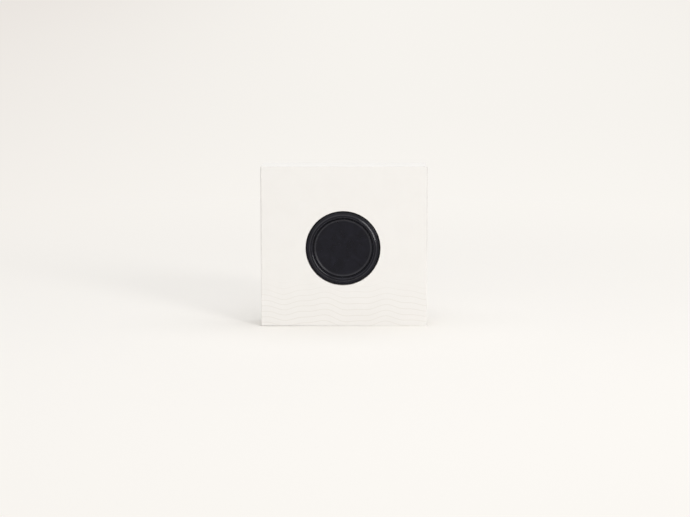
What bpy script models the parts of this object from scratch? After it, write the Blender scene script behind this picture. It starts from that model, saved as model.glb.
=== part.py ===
"""A magnetic soap holder in its retail carton, modelled piece by piece in metres.

The carton stands on the origin with its windowed front facing -Y and +Z up. The round holder sits
in the collar of a die-cut insert, its rim flush with the window, and pulls out towards -Y. Each
end of the carton closes with a hinged lid panel, a tuck flap and two dust flaps.
"""

import math

import bmesh
import bpy
from mathutils import Vector

# Carton board, the room left between pieces that touch, and how far a cut runs past its wall
BOARD = 0.0005
FIT_GAP = 0.0003
CUT_OVERRUN = 0.003
MERGE_DISTANCE = 0.000001

# Carton: outside width and height, upright folds and the flap that glues it shut
CARTON_WIDTH = 0.100
CARTON_HEIGHT = 0.0967
FOLD_RADIUS = 0.0006
FOLD_STEPS = 4
GLUE_FLAP_WIDTH = 0.014

# Window: how far its centre lies left of and below the middle of the front panel
WINDOW_SHIFT = 0.0006
WINDOW_DROP = 0.0009

# End closures, alike at the top and at the bottom
LID_SIDE_INSET = 0.0004
LID_HINGE_SETBACK = 0.0001
TUCK_GAP = 0.0005
TUCK_LENGTH = 0.009
TUCK_SIDE_INSET = 0.0025
TUCK_CORNER_RADIUS = 0.004
TUCK_LEAN = math.radians(5)
DUST_LENGTH = 0.018
DUST_FRONT_ROOM = 0.0012
DUST_CORNER_RADIUS = 0.003
DUST_TAPER_SHARE = 0.36
CORNER_STEPS = 5

# Insert that carries the holder in the middle of the carton
INSERT_REAR_RETURN = 0.015
INSERT_WEB_ROOM = 0.0022
COLLAR_DEPTH = 0.006
COLLAR_TABS = 12
COLLAR_SLIT = 0.0008
TAB_STEPS = 6

# Holder: turned outside, front relief, side wall and the ledge that its rear cover sits on
HOLDER_RADIUS = 0.0222
HOLDER_DEPTH = 0.014
FACE_SETBACK = 0.0001
WINDOW_CLEARANCE = 0.00035
SIDE_WALL = 0.0019
COVER_LEDGE = 0.0007
REAR_CHAMFER = 0.0003
SHELF_THICKNESS = 0.0015
POCKET_WALL = 0.0015

# Rim of the holder from its bore out to its edge: shares of the rim's width and of its fall
RIM_FALL = 0.002
RIM_SHARES = (
    (0.00, 0.62),
    (0.00, 0.44),
    (0.10, 0.40),
    (0.17, 0.26),
    (0.27, 0.05),
    (0.32, 0.00),
    (0.40, 0.00),
    (0.45, 0.05),
    (0.55, 0.32),
    (0.62, 0.38),
    (0.80, 0.46),
    (0.92, 0.58),
    (0.98, 0.76),
    (1.00, 1.00),
)

# Front cap: a shallow dish that the soap plate nests in
CAP_RADIUS = 0.01745
CAP_LIP_DEPTH = 0.001
CAP_FLOOR_DEPTH = 0.0021
CAP_FLOOR_THICKNESS = 0.0015
CAP_LIP_WIDTH = 0.0003
CAP_SLOPE_WIDTH = 0.0012
CAP_EDGE = 0.00015

# Magnet and the rear cover whose boss holds it in its pocket
MAGNET_RADIUS = 0.010
MAGNET_THICKNESS = 0.003
MAGNET_CHAMFER = 0.0003
COVER_THICKNESS = 0.0019
COVER_SINK = 0.0001
BOSS_WALL = 0.0015
BOSS_SHARE = 0.9

# Wall fixing: foam pad and its peel-off liner
PAD_RADIUS = 0.0185
PAD_THICKNESS = 0.0011
LINER_OVERHANG = 0.0002
LINER_THICKNESS = 0.0002
LINER_TAB_REACH = 0.003
LINER_TAB_WIDTH = 0.009

# Soap plate: a crown of pressed steel teeth that bites into the soap
PLATE_HEIGHT = 0.005
PLATE_STEEL = 0.0004
PLATE_CLEARANCE = 0.0005
PLATE_TEETH = 21
PLATE_FLARE = 0.0016
PLATE_BEND = 0.0009
FLUTE_DEPTH = 0.0003
TOOTH_NOTCH = 0.0014
STEPS_PER_TOOTH = 4

ROUND_STEPS = 72
SHARP_ANGLE = math.radians(32)

# Depths behind the holder's rim, and the carton depth that they call for
pad_front = HOLDER_DEPTH - COVER_SINK + FIT_GAP
liner_front = pad_front + PAD_THICKNESS + FIT_GAP
plate_front = liner_front + LINER_THICKNESS + FIT_GAP
plate_back = plate_front + PLATE_HEIGHT
carton_depth = FACE_SETBACK + plate_back + FIT_GAP + BOARD

# Planes of the carton: half sizes outside and inside, and how far each flap layer lies inward
half_width = CARTON_WIDTH / 2
half_depth = carton_depth / 2
inner_half_width = half_width - BOARD
inner_half_depth = half_depth - BOARD
under_lid = BOARD + FIT_GAP
under_dust = under_lid + BOARD + FIT_GAP
lid_front = -inner_half_depth + FIT_GAP
tuck_inner_face = -inner_half_depth + TUCK_GAP + BOARD
dust_front = tuck_inner_face + DUST_FRONT_ROOM

# Seat of the holder in the carton and the radii that follow from it
seat = Vector((-WINDOW_SHIFT, FACE_SETBACK - half_depth, CARTON_HEIGHT / 2 - WINDOW_DROP))
cap_bore = CAP_RADIUS + FIT_GAP
cap_back = CAP_FLOOR_DEPTH + CAP_FLOOR_THICKNESS
cap_floor_radius = CAP_RADIUS - CAP_LIP_WIDTH - CAP_SLOPE_WIDTH
shelf_front = cap_back + FIT_GAP
shelf_back = shelf_front + SHELF_THICKNESS
pocket_radius = MAGNET_RADIUS + FIT_GAP
pocket_back = shelf_front + MAGNET_THICKNESS
cover_bore = HOLDER_RADIUS - SIDE_WALL
cover_radius = cover_bore - FIT_GAP
cover_back = HOLDER_DEPTH - COVER_SINK
cover_front = cover_back - COVER_THICKNESS
plate_radius = cap_floor_radius - PLATE_CLEARANCE


def make_material(name, colour, roughness, metallic=0.0):
    """Gives one piece its own plain finish."""
    material = bpy.data.materials.new(name)
    material.use_nodes = True
    shader = material.node_tree.nodes["Principled BSDF"]
    shader.inputs["Base Color"].default_value = (*colour, 1.0)
    shader.inputs["Roughness"].default_value = roughness
    shader.inputs["Metallic"].default_value = metallic
    material.diffuse_color = (*colour, 1.0)
    return material


def finish_of(name):
    """Colour, roughness and metallic value of each finish in the photographed object."""
    finishes = {
        "white_board": ((0.86, 0.84, 0.81), 0.55, 0.0),
        "grey_board": ((0.62, 0.59, 0.54), 0.75, 0.0),
        "black_plastic": ((0.020, 0.020, 0.024), 0.5, 0.0),
        "nickel": ((0.72, 0.71, 0.69), 0.2, 1.0),
        "steel": ((0.66, 0.66, 0.67), 0.3, 1.0),
        "foam": ((0.80, 0.80, 0.78), 0.9, 0.0),
        "liner_paper": ((0.78, 0.70, 0.52), 0.5, 0.0),
    }
    return finishes[name]


def make_object(name, bm, finish, origin=(0, 0, 0), parent=None):
    """Turns a bmesh drawn around its own origin into a named piece that sits at that point."""
    bmesh.ops.recalc_face_normals(bm, faces=bm.faces)
    mesh = bpy.data.meshes.new(name)
    bm.to_mesh(mesh)
    bm.free()
    piece = bpy.data.objects.new(name, mesh)
    piece.location = origin
    piece.parent = parent
    bpy.context.scene.collection.objects.link(piece)
    if finish:
        mesh.materials.append(make_material(name, *finish_of(finish)))
    return piece


def make_cutter(name, bm):
    """Keeps a shape as a hidden tool for a Boolean."""
    cutter = make_object(name, bm, None)
    cutter.hide_render = True
    cutter.display_type = "WIRE"
    return cutter


def combine(piece, tool, operation):
    """Joins a hidden tool to a piece, or cuts it out of the piece."""
    change = piece.modifiers.new(tool.name, "BOOLEAN")
    change.operation = operation
    change.solver = "EXACT"
    change.object = tool


def add_slab(bm, corners, thickness):
    """Adds a flat sheet: an outline of 3-D points pushed through by a thickness vector."""
    face = bm.faces.new([bm.verts.new(corner) for corner in corners])
    pushed = bmesh.ops.extrude_face_region(bm, geom=[face])
    moved = [item for item in pushed["geom"] if isinstance(item, bmesh.types.BMVert)]
    bmesh.ops.translate(bm, verts=moved, vec=thickness)


def add_box(bm, low, high):
    """Adds a box between two opposite corners."""
    corners = [
        (low[0], low[1], low[2]),
        (high[0], low[1], low[2]),
        (high[0], high[1], low[2]),
        (low[0], high[1], low[2]),
    ]
    add_slab(bm, corners, (0, 0, high[2] - low[2]))


def arc(centre, radius, start, end, steps):
    """Points of an arc in the plane, from one angle to another."""
    turn = (end - start) / steps
    angles = [start + turn * step for step in range(steps + 1)]
    return [(centre[0] + radius * math.cos(a), centre[1] + radius * math.sin(a)) for a in angles]


def rounded_rectangle(half_x, half_y, radius, steps):
    """Outline of a rectangle about the origin with four round corners."""
    outline = []
    quarter = math.pi / 2
    corners = ((1, 1), (-1, 1), (-1, -1), (1, -1))
    for count, (side_x, side_y) in enumerate(corners):
        centre = (side_x * (half_x - radius), side_y * (half_y - radius))
        outline += arc(centre, radius, count * quarter, (count + 1) * quarter, steps)
    return outline


def turned(outline, steps=ROUND_STEPS):
    """Spins an outline of (radius, depth) points round the Y axis into a closed solid."""
    bm = bmesh.new()
    points = [bm.verts.new((radius, depth, 0)) for radius, depth in outline]
    edges = [bm.edges.new(pair) for pair in zip(points, points[1:])]
    if outline[0][0] > 0:
        edges.append(bm.edges.new((points[-1], points[0])))
    full_turn = 2 * math.pi
    bmesh.ops.spin(
        bm,
        geom=points + edges,
        axis=(0, 1, 0),
        cent=(0, 0, 0),
        angle=full_turn,
        steps=steps,
        use_merge=True,
    )
    bmesh.ops.remove_doubles(bm, verts=bm.verts, dist=MERGE_DISTANCE)
    return bm


def shade_round(piece):
    """Shades the turned faces smooth and keeps the corners between them crisp."""
    piece.data.shade_smooth()
    piece.data.set_sharp_from_angle(angle=SHARP_ANGLE)


def disc_cutter(name, radius, near, far):
    """Hidden cylinder on the holder's axis between two Y planes of the carton."""
    bm = turned([(0, near), (radius, near), (radius, far), (0, far)])
    bmesh.ops.translate(bm, verts=bm.verts, vec=(seat.x, 0, seat.z))
    return make_cutter(name, bm)


def level(end, inset):
    """Height of a plane that lies an inset inside the top (1) or the bottom (-1) of the carton."""
    return CARTON_HEIGHT - inset if end > 0 else inset


def sorted_levels(end, outer_inset, inner_inset):
    """The lower and the upper of two such planes."""
    return sorted((level(end, outer_inset), level(end, inner_inset)))


def build_sleeve():
    """The folded and glued body of the carton: front with its window, sides, back, glue flap."""
    bm = bmesh.new()
    outside = rounded_rectangle(half_width, half_depth, FOLD_RADIUS, FOLD_STEPS)
    add_slab(bm, [(x, y, 0) for x, y in outside], (0, 0, CARTON_HEIGHT))
    sleeve = make_object("carton_sleeve", bm, "white_board")

    flap_edge = GLUE_FLAP_WIDTH - inner_half_width
    flap_face = inner_half_depth - BOARD
    hollow = [
        (-inner_half_width, -inner_half_depth),
        (inner_half_width, -inner_half_depth),
        (inner_half_width, inner_half_depth),
        (flap_edge, inner_half_depth),
        (flap_edge, flap_face),
        (-inner_half_width, flap_face),
    ]
    bm = bmesh.new()
    run = CARTON_HEIGHT + CUT_OVERRUN + CUT_OVERRUN
    add_slab(bm, [(x, y, -CUT_OVERRUN) for x, y in hollow], (0, 0, run))
    combine(sleeve, make_cutter("carton_hollow", bm), "DIFFERENCE")

    window_radius = HOLDER_RADIUS + WINDOW_CLEARANCE
    window = disc_cutter(
        "window_cut", window_radius, -half_depth - CUT_OVERRUN, CUT_OVERRUN - inner_half_depth
    )
    combine(sleeve, window, "DIFFERENCE")

    rear_trim = bmesh.new()
    side_trim = bmesh.new()
    past_width = half_width + CUT_OVERRUN
    past_depth = half_depth + CUT_OVERRUN
    fold_y = half_depth - FOLD_RADIUS
    fold_x = half_width - FOLD_RADIUS
    for end in (1, -1):
        low, high = sorted_levels(end, -CUT_OVERRUN, under_lid)
        add_box(rear_trim, (-past_width, -fold_y, low), (past_width, past_depth, high))
        low, high = sorted_levels(end, -CUT_OVERRUN, under_dust)
        add_box(side_trim, (fold_x, -fold_y, low), (past_width, fold_y, high))
        add_box(side_trim, (-past_width, -fold_y, low), (-fold_x, fold_y, high))
    combine(sleeve, make_cutter("rear_trim", rear_trim), "DIFFERENCE")
    combine(sleeve, make_cutter("side_trim", side_trim), "DIFFERENCE")


def build_lid(end_name, end):
    """The end panel, hinged on the crease along the top or bottom of the back panel."""
    hinge = Vector((0, half_depth, level(end, BOARD + FIT_GAP / 2)))
    side = half_width - LID_SIDE_INSET
    front = lid_front - hinge.y
    back = -LID_HINGE_SETBACK
    outer = level(end, 0) - hinge.z
    corners = [(-side, front, outer), (side, front, outer), (side, back, outer), (-side, back, outer)]
    bm = bmesh.new()
    add_slab(bm, corners, (0, 0, -end * BOARD))
    make_object(end_name + "_lid_panel", bm, "white_board", hinge)


def build_tuck(end_name, end):
    """The flap folded from the lid's front edge, which tucks in behind the front panel."""
    hinge = Vector((0, tuck_inner_face, level(end, BOARD + FIT_GAP / 2)))
    side = half_width - TUCK_SIDE_INSET
    radius = TUCK_CORNER_RADIUS
    top = FIT_GAP / 2
    tip = top + TUCK_LENGTH
    quarter = math.pi / 2
    right = arc((side - radius, tip - radius), radius, 0, quarter, CORNER_STEPS)
    left = arc((radius - side, tip - radius), radius, quarter, math.pi, CORNER_STEPS)
    outline = [(side, top)] + right + left + [(-side, top)]
    bm = bmesh.new()
    add_slab(bm, [(x, -BOARD, -end * reach) for x, reach in outline], (0, BOARD, 0))
    flap = make_object(end_name + "_tuck_flap", bm, "white_board", hinge)
    flap.rotation_euler.x = end * TUCK_LEAN


def build_dust(end_name, end, side_name, side):
    """A dust flap, hinged on the crease at the end of a side panel and tapered at its rear."""
    hinge = Vector((side * half_width, 0, level(end, under_dust - FIT_GAP / 2)))
    outer = level(end, under_lid) - hinge.z
    rear = inner_half_depth - BOARD - FIT_GAP
    rear_tip = rear - DUST_LENGTH * DUST_TAPER_SHARE
    radius = DUST_CORNER_RADIUS
    quarter = math.pi / 2
    front_corner = arc((DUST_LENGTH - radius, dust_front + radius), radius, -quarter, 0, CORNER_STEPS)
    outline = [(0, dust_front)] + front_corner + [(DUST_LENGTH, rear_tip), (0, rear)]
    bm = bmesh.new()
    add_slab(bm, [(-side * reach, y, outer) for reach, y in outline], (0, 0, -end * BOARD))
    make_object(end_name + "_dust_flap_" + side_name, bm, "white_board", hinge)


def build_insert():
    """The grey insert: a front web with the holder's collar, and returns that brace it."""
    outer_x = inner_half_width - FIT_GAP
    front = -inner_half_depth + FIT_GAP
    rear = inner_half_depth - BOARD - FIT_GAP
    inner_x = outer_x - BOARD
    return_tip = outer_x - INSERT_REAR_RETURN
    web_back = front + BOARD
    return_face = rear - BOARD
    right = [
        (outer_x, front),
        (outer_x, rear),
        (return_tip, rear),
        (return_tip, return_face),
        (inner_x, return_face),
        (inner_x, web_back),
    ]
    outline = right + [(-x, y) for x, y in reversed(right)]
    bottom = level(-1, under_dust)
    top = level(1, under_dust)
    bm = bmesh.new()
    add_slab(bm, [(x, y, bottom) for x, y in outline], (0, 0, top - bottom))
    insert = make_object("insert_cradle", bm, "grey_board")

    web_trim = bmesh.new()
    web_inset = under_lid + TUCK_LENGTH + INSERT_WEB_ROOM
    trim_x = inner_x - BOARD
    for end in (1, -1):
        low, high = sorted_levels(end, -CUT_OVERRUN, web_inset)
        add_box(web_trim, (-trim_x, front - CUT_OVERRUN, low), (trim_x, web_back + BOARD, high))
    combine(insert, make_cutter("web_trim", web_trim), "DIFFERENCE")

    seat_radius = HOLDER_RADIUS + FIT_GAP
    collar_back = web_back + COLLAR_DEPTH
    root = web_back - BOARD / 2
    full_turn = 2 * math.pi
    spread = (full_turn / COLLAR_TABS - COLLAR_SLIT / seat_radius) / 2
    tabs = bmesh.new()
    for tab in range(COLLAR_TABS):
        middle = full_turn * tab / COLLAR_TABS
        start = middle - spread
        end = middle + spread
        outer = arc((seat.x, seat.z), seat_radius + BOARD, start, end, TAB_STEPS)
        inner = arc((seat.x, seat.z), seat_radius - BOARD, end, start, TAB_STEPS)
        add_slab(tabs, [(x, root, z) for x, z in outer + inner], (0, collar_back - root, 0))
    combine(insert, make_cutter("collar_tabs", tabs), "UNION")
    hole = disc_cutter("seat_cut", seat_radius, front - CUT_OVERRUN, collar_back + CUT_OVERRUN)
    combine(insert, hole, "DIFFERENCE")


def build_holder_body(holder):
    """The moulded black ring: rim, cap seat, magnet pocket and the bore for the rear cover."""
    rim_width = HOLDER_RADIUS - cap_bore
    rim = [(cap_bore + across * rim_width, fall * RIM_FALL) for across, fall in RIM_SHARES]
    inner_wall = cover_bore - COVER_LEDGE
    ledge = cover_front - FIT_GAP
    outline = [(cap_bore, shelf_front)] + rim
    outline += [
        (HOLDER_RADIUS, HOLDER_DEPTH - REAR_CHAMFER),
        (HOLDER_RADIUS - REAR_CHAMFER, HOLDER_DEPTH),
        (cover_bore, HOLDER_DEPTH),
        (cover_bore, ledge),
        (inner_wall, ledge),
        (inner_wall, shelf_back),
        (pocket_radius + POCKET_WALL, shelf_back),
        (pocket_radius + POCKET_WALL, pocket_back),
        (pocket_radius, pocket_back),
        (pocket_radius, shelf_front),
    ]
    shade_round(make_object("holder_body", turned(outline), "black_plastic", parent=holder))


def build_front_cap(holder):
    """The dished disc in the middle of the face, with the lip that centres the soap plate."""
    lip_inner = CAP_RADIUS - CAP_LIP_WIDTH
    outline = [
        (0, CAP_FLOOR_DEPTH),
        (cap_floor_radius - CAP_EDGE, CAP_FLOOR_DEPTH),
        (cap_floor_radius + CAP_EDGE, CAP_FLOOR_DEPTH - CAP_EDGE),
        (lip_inner, CAP_LIP_DEPTH),
        (CAP_RADIUS - CAP_EDGE, CAP_LIP_DEPTH),
        (CAP_RADIUS, CAP_LIP_DEPTH + CAP_EDGE),
        (CAP_RADIUS, cap_back),
        (0, cap_back),
    ]
    shade_round(make_object("front_cap", turned(outline), "black_plastic", parent=holder))


def build_magnet(holder):
    """The nickel-plated disc magnet in its pocket behind the cap."""
    front = shelf_front
    back = front + MAGNET_THICKNESS
    outline = [
        (0, front),
        (MAGNET_RADIUS - MAGNET_CHAMFER, front),
        (MAGNET_RADIUS, front + MAGNET_CHAMFER),
        (MAGNET_RADIUS, back - MAGNET_CHAMFER),
        (MAGNET_RADIUS - MAGNET_CHAMFER, back),
        (0, back),
    ]
    shade_round(make_object("magnet", turned(outline), "nickel", parent=holder))


def build_rear_cover(holder):
    """The cover pressed into the back, whose hollow boss keeps the magnet in its pocket."""
    boss_outer = MAGNET_RADIUS * BOSS_SHARE
    boss_inner = boss_outer - BOSS_WALL
    boss_tip = pocket_back + FIT_GAP
    outline = [
        (0, cover_back),
        (cover_radius - REAR_CHAMFER, cover_back),
        (cover_radius, cover_back - REAR_CHAMFER),
        (cover_radius, cover_front),
        (boss_outer, cover_front),
        (boss_outer, boss_tip),
        (boss_inner, boss_tip),
        (boss_inner, cover_front),
        (0, cover_front),
    ]
    shade_round(make_object("rear_cover", turned(outline), "black_plastic", parent=holder))


def build_pad(holder):
    """The double-sided foam pad that sticks the holder to a wall."""
    back = pad_front + PAD_THICKNESS
    outline = [(0, pad_front), (PAD_RADIUS, pad_front), (PAD_RADIUS, back), (0, back)]
    shade_round(make_object("adhesive_pad", turned(outline), "foam", parent=holder))


def build_liner(holder):
    """The peel-off liner over the pad, with a tab to lift it by."""
    radius = PAD_RADIUS + LINER_OVERHANG
    half_tab = LINER_TAB_WIDTH / 2
    open_angle = math.asin(half_tab / radius)
    reach = PAD_RADIUS + LINER_TAB_REACH - half_tab
    quarter = math.pi / 2
    disc = arc((0, 0), radius, open_angle, 2 * math.pi - open_angle, ROUND_STEPS)
    tab = arc((reach, 0), half_tab, -quarter, quarter, CORNER_STEPS + CORNER_STEPS)
    bm = bmesh.new()
    add_slab(bm, [(x, liner_front, z) for x, z in disc + tab], (0, LINER_THICKNESS, 0))
    make_object("release_liner", bm, "liner_paper", parent=holder)


def build_soap_plate(holder):
    """The steel crown that is pushed into a bar of soap, parked behind the liner by the magnet."""
    flat_radius = plate_radius - FLUTE_DEPTH - PLATE_FLARE
    bend_radius = flat_radius - PLATE_BEND
    tip_radius = plate_radius - FLUTE_DEPTH
    outline = [
        (0, 0),
        (bend_radius, 0),
        (flat_radius - PLATE_BEND / 3, PLATE_BEND / 3),
        (flat_radius, PLATE_BEND),
        (tip_radius, PLATE_HEIGHT),
        (tip_radius - PLATE_STEEL, PLATE_HEIGHT),
        (flat_radius - PLATE_STEEL, PLATE_BEND + PLATE_STEEL / 2),
        (bend_radius, PLATE_STEEL),
        (0, PLATE_STEEL),
    ]
    bm = turned(outline, PLATE_TEETH * STEPS_PER_TOOTH)
    for vertex in bm.verts:
        spot = vertex.co
        share = max(0.0, (spot.y - PLATE_BEND) / (PLATE_HEIGHT - PLATE_BEND))
        wave = math.cos(PLATE_TEETH * math.atan2(spot.z, spot.x))
        outward = Vector((spot.x, 0, spot.z)).normalized()
        notch = Vector((0, TOOTH_NOTCH * share * (wave - 1) / 2, 0))
        vertex.co += outward * (FLUTE_DEPTH * share * wave) + notch
    plate = make_object("soap_plate", bm, "steel", (0, plate_front, 0), holder)
    shade_round(plate)


def build_holder():
    """The round holder and what travels with it, about the slide that they leave the carton on."""
    holder = bpy.data.objects.new("holder_slide", None)
    holder.location = seat
    bpy.context.scene.collection.objects.link(holder)
    build_holder_body(holder)
    build_front_cap(holder)
    build_magnet(holder)
    build_rear_cover(holder)
    build_pad(holder)
    build_liner(holder)
    build_soap_plate(holder)


def build_carton():
    """The sleeve and its two end closures."""
    build_sleeve()
    for end_name, end in (("top", 1), ("bottom", -1)):
        build_lid(end_name, end)
        build_tuck(end_name, end)
        build_dust(end_name, end, "left", -1)
        build_dust(end_name, end, "right", 1)


for leftover in list(bpy.data.objects):
    bpy.data.objects.remove(leftover)
build_carton()
build_insert()
build_holder()
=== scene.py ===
"""A boxed magnetic soap holder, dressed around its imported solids. All lengths are in metres."""

import math

import bmesh
import bpy
from mathutils import Matrix, Vector


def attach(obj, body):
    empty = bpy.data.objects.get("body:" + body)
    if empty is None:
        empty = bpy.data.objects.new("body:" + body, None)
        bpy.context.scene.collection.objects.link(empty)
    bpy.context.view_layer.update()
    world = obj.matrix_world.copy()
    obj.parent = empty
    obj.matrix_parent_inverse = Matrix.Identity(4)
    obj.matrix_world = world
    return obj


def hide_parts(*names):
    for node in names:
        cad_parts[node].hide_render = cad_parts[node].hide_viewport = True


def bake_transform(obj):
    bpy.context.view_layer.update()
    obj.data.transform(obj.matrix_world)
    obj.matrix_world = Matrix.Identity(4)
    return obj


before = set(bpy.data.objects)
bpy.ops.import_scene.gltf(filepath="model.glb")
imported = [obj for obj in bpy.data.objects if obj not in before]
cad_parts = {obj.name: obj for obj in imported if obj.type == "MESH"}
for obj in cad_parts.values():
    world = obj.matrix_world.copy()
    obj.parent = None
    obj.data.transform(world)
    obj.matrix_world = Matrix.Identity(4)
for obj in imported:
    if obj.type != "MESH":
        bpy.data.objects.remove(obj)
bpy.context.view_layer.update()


# The studio
# Pale paper runs from the floor into a backdrop of the same tone. Three soft lamps light it: a
# broad one overhead, a fill above the camera, and a tall tilted strip low on the right.

CAMERA_PLACE = (0.00059, -1.5, 0.2675)
CAMERA_DIP = math.radians(8.639)
LENS_MILLIMETRES = 130.69
SENSOR_MILLIMETRES = 36
VIEW_REACH = 200

scene = bpy.context.scene
scene.view_settings.view_transform = "Standard"

camera_data = bpy.data.cameras.new("studio_camera")
camera_data.lens = LENS_MILLIMETRES
camera_data.sensor_width = SENSOR_MILLIMETRES
camera_data.clip_end = VIEW_REACH
camera = bpy.data.objects.new("studio_camera", camera_data)
camera.location = CAMERA_PLACE
camera.rotation_euler = (math.pi / 2 - CAMERA_DIP, 0, 0)
scene.collection.objects.link(camera)
scene.camera = camera

BOX_MIDDLE = Vector((0, 0, 0.05))
SOFTBOXES = (
    ("key_softbox", (1.25, -1.6, 0.62), (0.20, 1.3), 30, 14, (1.0, 0.995, 0.985)),
    ("fill_softbox", (-0.35, -2.3, 1.1), (1.8, 1.8), 0, 4.0, (1.0, 1.0, 1.0)),
    ("top_softbox", (0.15, -0.1, 2.1), (3.0, 3.0), 0, 39, (1.0, 1.0, 1.0)),
)


def hang_softbox(name, place, sides, tilt, power, colour):
    """Hangs a lamp that faces the middle of the carton, tilted in its own plane by degrees."""
    lamp_data = bpy.data.lights.new(name, "AREA")
    lamp_data.shape = "RECTANGLE"
    lamp_data.size, lamp_data.size_y = sides
    lamp_data.energy = power
    lamp_data.color = colour
    lamp = bpy.data.objects.new(name, lamp_data)
    lamp.location = place
    facing = (BOX_MIDDLE - Vector(place)).to_track_quat("-Z", "Y").to_matrix()
    lamp.rotation_euler = (facing @ Matrix.Rotation(math.radians(tilt), 3, "Z")).to_euler()
    scene.collection.objects.link(lamp)


for softbox in SOFTBOXES:
    hang_softbox(*softbox)


class Wire:
    """A value in a material. Arithmetic on it adds Math nodes, and add() puts in any other node."""

    def __init__(self, tree, socket=None):
        self.tree = tree
        self.socket = socket

    def add(self, kind, settings, inputs, output=0):
        """Adds a node, sets it up, then gives each of the listed sockets a value or a wire.

        A socket goes by its name, or by its number where the node has that name twice.
        """
        node = self.tree.nodes.new("ShaderNode" + kind)
        for setting, value in settings.items():
            setattr(node, setting, value)
        for name, value in inputs.items():
            if isinstance(value, Wire):
                self.tree.links.new(value.socket, node.inputs[name])
            else:
                node.inputs[name].default_value = value
        return Wire(self.tree, node.outputs[output])

    def maths(self, operation, first, second):
        """A sum on two numbers."""
        return self.add("Math", {"operation": operation}, {0: first, 1: second})

    def __add__(self, other):
        return self.maths("ADD", self, other)

    def __radd__(self, other):
        return self.maths("ADD", other, self)

    def __sub__(self, other):
        return self.maths("SUBTRACT", self, other)

    def __rsub__(self, other):
        return self.maths("SUBTRACT", other, self)

    def __mul__(self, other):
        return self.maths("MULTIPLY", self, other)

    def __rmul__(self, other):
        return self.maths("MULTIPLY", other, self)

    def __truediv__(self, other):
        return self.maths("DIVIDE", self, other)

    def step(self, low, high, share=None):
        """Rises smoothly from 0 at low to 1 at high, or to a share of 1."""
        settings = {"interpolation_type": "SMOOTHSTEP"}
        risen = self.add("MapRange", settings, {"Value": self, "From Min": low, "From Max": high})
        return risen if share is None else risen * share

    def blend(self, first, second):
        """Mixes two colours, with this value as the share of the second.

        A Mix node takes its colours at sockets 6 and 7, and gives one at its output 2.
        """
        return self.add("Mix", {"data_type": "RGBA"}, {0: self, 6: first, 7: second}, 2)

    def noise(self, scale, detail, distortion=0.0):
        """Cloudy noise over this vector, with so many clouds to the metre."""
        inputs = {"Vector": self, "Scale": scale, "Detail": detail, "Distortion": distortion}
        return self.add("TexNoise", {}, inputs)

    def coordinate(self, axis):
        """The X, Y or Z of this vector."""
        return self.add("SeparateXYZ", {}, {"Vector": self}, axis)

    def away_from(self, point):
        """This vector, counted from a point."""
        return self.add("VectorMath", {"operation": "SUBTRACT"}, {0: self, 1: point})

    def length(self):
        """How long this vector is."""
        return self.add("VectorMath", {"operation": "LENGTH"}, {0: self}, "Value")

    def stretched(self, scale):
        """This vector, with each of its coordinates scaled."""
        return self.add("Mapping", {}, {"Vector": self, "Scale": scale})

    def feed(self, target):
        """Leads this value into a socket."""
        self.tree.links.new(self.socket, target)

    def emboss(self, shader, strength, height):
        """Raises the surface with this value."""
        inputs = {"Height": self, "Strength": strength, "Distance": height}
        self.add("Bump", {}, inputs).feed(shader.inputs["Normal"])


def new_material(name):
    """An empty material: its Principled shader, and the object's own coordinates to paint by."""
    material = bpy.data.materials.new(name)
    material.use_nodes = True
    tree = material.node_tree
    place = Wire(tree).add("TexCoord", {}, {}, "Object")
    return material, tree.nodes["Principled BSDF"], place


def looked_at(wire):
    """1 for what the camera or a mirroring surface sees, and 0 for the light that is given off."""
    camera_ray = wire.add("LightPath", {}, {}, "Is Camera Ray")
    return camera_ray + wire.add("LightPath", {}, {}, "Is Glossy Ray")


def new_object(name, bm):
    """Puts a finished mesh in the scene as an object."""
    data = bpy.data.meshes.new(name)
    bm.to_mesh(data)
    bm.free()
    made = bpy.data.objects.new(name, data)
    scene.collection.objects.link(made)
    return made


def rgb(red, green, blue):
    """An opaque colour."""
    return (red, green, blue, 1.0)


SWEEP_NEAR = rgb(0.900, 0.876, 0.840)
SWEEP_FRONT = rgb(0.960, 0.933, 0.890)
SWEEP_FAR = rgb(0.924, 0.899, 0.857)
SWEEP_SIDE = rgb(0.825, 0.785, 0.745)
SWEEP_ROUGHNESS = 0.9
SWEEP_HALF_WIDTH = 60
SWEEP_FADE = (0.10, 0.60)
LEFT_FALL = (-0.85, 0.10)
RIGHT_FALL = (0.15, 1.30, 0.35)
DEPTH_FALL = (-0.4, 1.6)
PICTURED_CENTRE = (0, 1.9, 0)
PICTURED_REACH = (1.2, 3.0, 1.0)
CLEAR_FALL = (1.0, 2.4)

sweep_mesh = bmesh.new()
bmesh.ops.create_grid(sweep_mesh, x_segments=1, y_segments=1, size=SWEEP_HALF_WIDTH)
sweep = new_object("sweep", sweep_mesh)

# The paper is lit near the carton, where it keeps the shadow, and further out it glows with a painted
# tone, brighter towards the front. That tone has painted shade to the sides, but only inside what the
# picture takes in.
paint, shader, place = new_material("sweep_paper")
shader.inputs["Base Color"].default_value = SWEEP_NEAR
shader.inputs["Roughness"].default_value = SWEEP_ROUGHNESS
shader.inputs["Specular IOR Level"].default_value = 0.0
across = place.coordinate("X")
dim = 1 - across.step(*LEFT_FALL) + across.step(*RIGHT_FALL)
depth_tone = place.coordinate("Y").step(*DEPTH_FALL).blend(SWEEP_FRONT, SWEEP_FAR)
offset = place.away_from(PICTURED_CENTRE)
beyond = place.add("VectorMath", {"operation": "DIVIDE"}, {0: offset, 1: PICTURED_REACH})
clear = beyond.length().step(*CLEAR_FALL)
tone = clear.blend(dim.blend(depth_tone, SWEEP_SIDE), SWEEP_FAR)
glow = place.add("Emission", {}, {"Color": tone, "Strength": 1.0})
share = place.length().step(*SWEEP_FADE) * looked_at(place)
lit = Wire(paint.node_tree, shader.outputs["BSDF"])
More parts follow.
